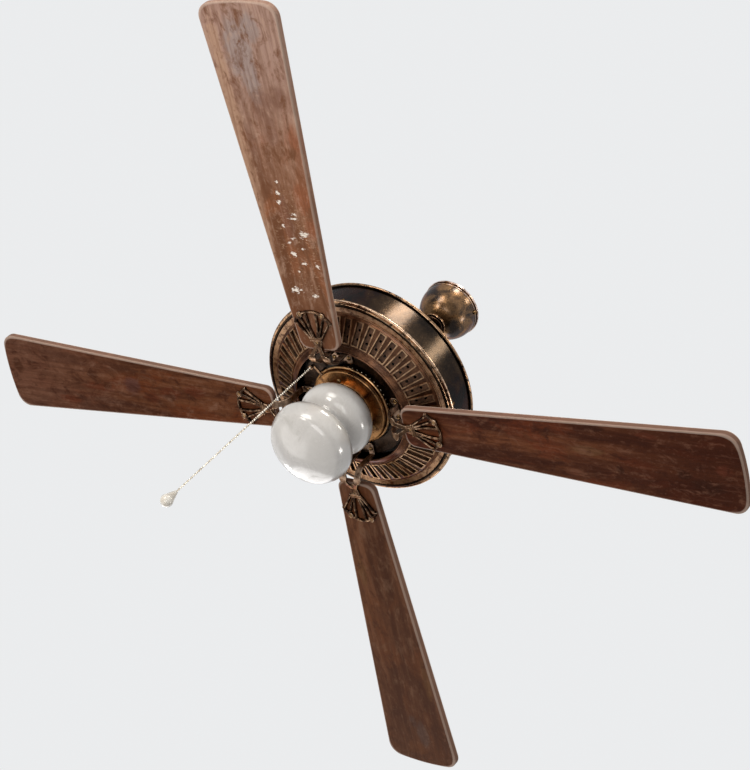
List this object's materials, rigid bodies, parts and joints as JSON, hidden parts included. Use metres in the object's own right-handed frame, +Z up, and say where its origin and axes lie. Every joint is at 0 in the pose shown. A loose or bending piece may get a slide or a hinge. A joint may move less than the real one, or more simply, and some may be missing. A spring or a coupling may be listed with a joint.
{
  "type": "ceiling fan with light",
  "caption": "Ceiling fan on a short rod: wooden blades on scrolled irons, slotted drum housing, a two-bulge opal glass light and a pull chain.",
  "frame": {"origin": "middle of the hanger bracket's top face, on the ceiling plane", "axes": "+Z up, along the rotor's axis; blades point along +Y, -X, -Y and +X at rest"},
  "size_m": [1.32, 1.32, 0.683],
  "materials": {
    "zinc_steel": "zinc-plated steel, dull",
    "ball_plastic": "moulded plastic, off-white",
    "antique_bronze": "antique bronze, worn and lacquered",
    "dark_bronze": "dark bronze casting, rubbed bright on its ridges",
    "aged_brass": "aged brass, satin",
    "laminated_steel": "stacked electrical steel",
    "winding_copper": "enamelled copper wire",
    "cast_aluminium": "die-cast aluminium, as cast",
    "blade_wood": "reddish-brown stained wood, worn at the edges",
    "washer_rubber": "fibre and rubber, dark red",
    "switch_plastic": "black moulded plastic",
    "lever_plastic": "white moulded plastic",
    "opal_glass": "white opal glass, glossy and slightly dusty",
    "bulb_glass": "frosted white bulb",
    "white_ceramic": "white glazed ceramic",
    "chain_metal": "tarnished nickel ball chain"
  },
  "bodies": {
    "ceiling_mount": {"hanger_bracket": "zinc_steel", "canopy": "antique_bronze", "canopy_collar": "dark_bronze", "canopy_screws": "aged_brass"},
    "hanging": {"hanger_ball": "ball_plastic", "hanger_pin": "zinc_steel", "downrod": "antique_bronze", "coupling_cover": "antique_bronze", "motor_coupling": "zinc_steel", "coupling_pin": "zinc_steel", "coupling_clip": "zinc_steel", "motor_shaft": "zinc_steel", "motor_housing": "antique_bronze", "vent_ring": "antique_bronze", "vent_liner": "dark_bronze", "housing_screws": "aged_brass", "stator_core": "laminated_steel", "stator_windings": "winding_copper", "bearing_top": "zinc_steel", "bearing_bottom": "zinc_steel", "switch_plate": "zinc_steel", "shaft_nut": "zinc_steel", "switch_housing": "aged_brass", "cup_screws": "aged_brass", "pull_switch": "switch_plastic", "chain_guide": "aged_brass", "capacitor": "switch_plastic", "reverse_switch": "switch_plastic", "light_fitter": "aged_brass", "glass_shade": "opal_glass", "shade_screws": "aged_brass", "lamp_socket": "white_ceramic", "bulb": "bulb_glass"},
    "rotor": {"rotor_cap_top": "cast_aluminium", "rotor_cap_bottom": "cast_aluminium", "rotor_ring": "laminated_steel", "flywheel": "dark_bronze", "blade_iron_1": "dark_bronze", "blade_iron_2": "dark_bronze", "blade_iron_3": "dark_bronze", "blade_iron_4": "dark_bronze", "iron_screws": "aged_brass", "blade_1": "blade_wood", "blade_2": "blade_wood", "blade_3": "blade_wood", "blade_4": "blade_wood", "blade_screws": "aged_brass", "blade_washers": "washer_rubber"},
    "chain": {"pull_chain": "chain_metal", "chain_finial": "white_ceramic"},
    "reverse": {"reverse_lever": "lever_plastic"}
  },
  "joints": [
    {"name": "hanger_swing", "type": "hinge", "parent": "ceiling_mount", "child": "hanging", "pos_m": [0, 0, -0.034], "axis": [1, 0, 0], "range_deg": [-8, 8]},
    {"name": "rotor_spin", "type": "hinge", "parent": "hanging", "child": "rotor", "pos_m": [0, 0, -0.256], "axis": [0, 0, 1], "continuous": true},
    {"name": "chain_pull", "type": "slide", "parent": "hanging", "child": "chain", "axis": [0, 0, -1], "range_m": [0, 0.01], "stiffness_N_per_m": 250, "springref_m": -0.01},
    {"name": "reverse_slide", "type": "slide", "parent": "hanging", "child": "reverse", "axis": [0.866, 0.5, 0], "range_m": [-0.0035, 0.0035]}
  ]
}
